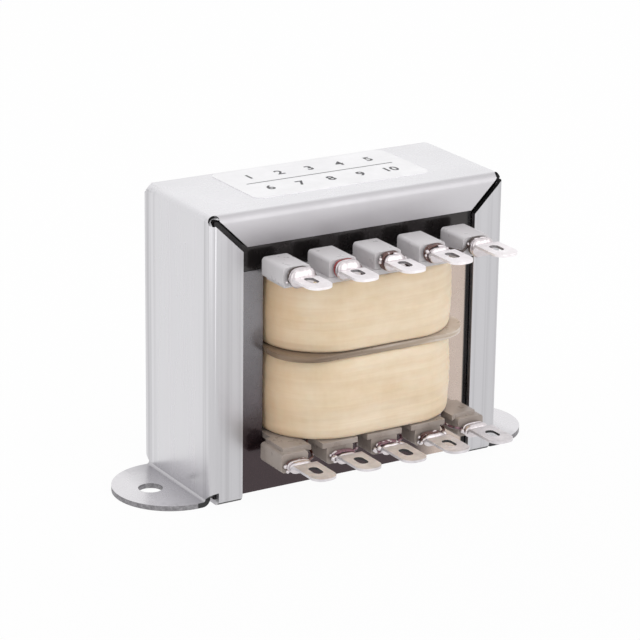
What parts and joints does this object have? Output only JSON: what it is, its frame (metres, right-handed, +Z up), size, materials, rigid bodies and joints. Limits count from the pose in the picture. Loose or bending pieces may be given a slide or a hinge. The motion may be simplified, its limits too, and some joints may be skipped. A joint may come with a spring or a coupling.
{
  "type": "laminated chassis transformer",
  "caption": "Upright laminated mains transformer in a folded channel frame with outward feet, a split taped coil on a flanged bobbin and solder lugs along its front.",
  "frame": {"origin": "midway between the two mounting holes, on the underside of the feet", "axes": "+X along the feet from hole to hole, -Y towards the solder lugs, +Z up"},
  "size_m": [0.1104, 0.0719, 0.0705],
  "materials": {
    "plated_steel": "bright tin or zinc plated sheet, smooth, semi-gloss",
    "core_steel": "electrical steel under clear dark varnish, glossy",
    "nylon": "natural moulded nylon, slightly translucent",
    "enamelled_copper": "copper wire under dark red-brown enamel",
    "crepe_tape": "buff crepe-paper tape, matt",
    "tinned_brass": "bright tin plated",
    "solder_metal": "bright solder",
    "label_film": "satin white film, bare of any maker's text"
  },
  "bodies": {
    "root": {"channel_frame": "plated_steel", "front_e_lamination": "core_steel", "rear_e_lamination": "core_steel", "e_laminations_yoke_down": "core_steel", "e_laminations_yoke_up": "core_steel", "i_laminations_top": "core_steel", "i_laminations_bottom": "core_steel", "bobbin": "nylon", "primary_winding": "enamelled_copper", "secondary_winding": "enamelled_copper", "lower_tape_wrap": "crepe_tape", "upper_tape_wrap": "crepe_tape", "terminal_1": "tinned_brass", "terminal_2": "tinned_brass", "terminal_3": "tinned_brass", "terminal_4": "tinned_brass", "terminal_5": "tinned_brass", "terminal_6": "tinned_brass", "terminal_7": "tinned_brass", "terminal_8": "tinned_brass", "terminal_9": "tinned_brass", "terminal_10": "tinned_brass", "lead_1": "enamelled_copper", "lead_2": "enamelled_copper", "lead_3": "enamelled_copper", "lead_4": "enamelled_copper", "lead_5": "enamelled_copper", "lead_6": "enamelled_copper", "lead_7": "enamelled_copper", "lead_8": "enamelled_copper", "lead_9": "enamelled_copper", "lead_10": "enamelled_copper", "solder_1": "solder_metal", "solder_2": "solder_metal", "solder_3": "solder_metal", "solder_4": "solder_metal", "solder_5": "solder_metal", "solder_6": "solder_metal", "solder_7": "solder_metal", "solder_8": "solder_metal", "solder_9": "solder_metal", "solder_10": "solder_metal", "rating_label": "label_film"}
  },
  "joints": []
}
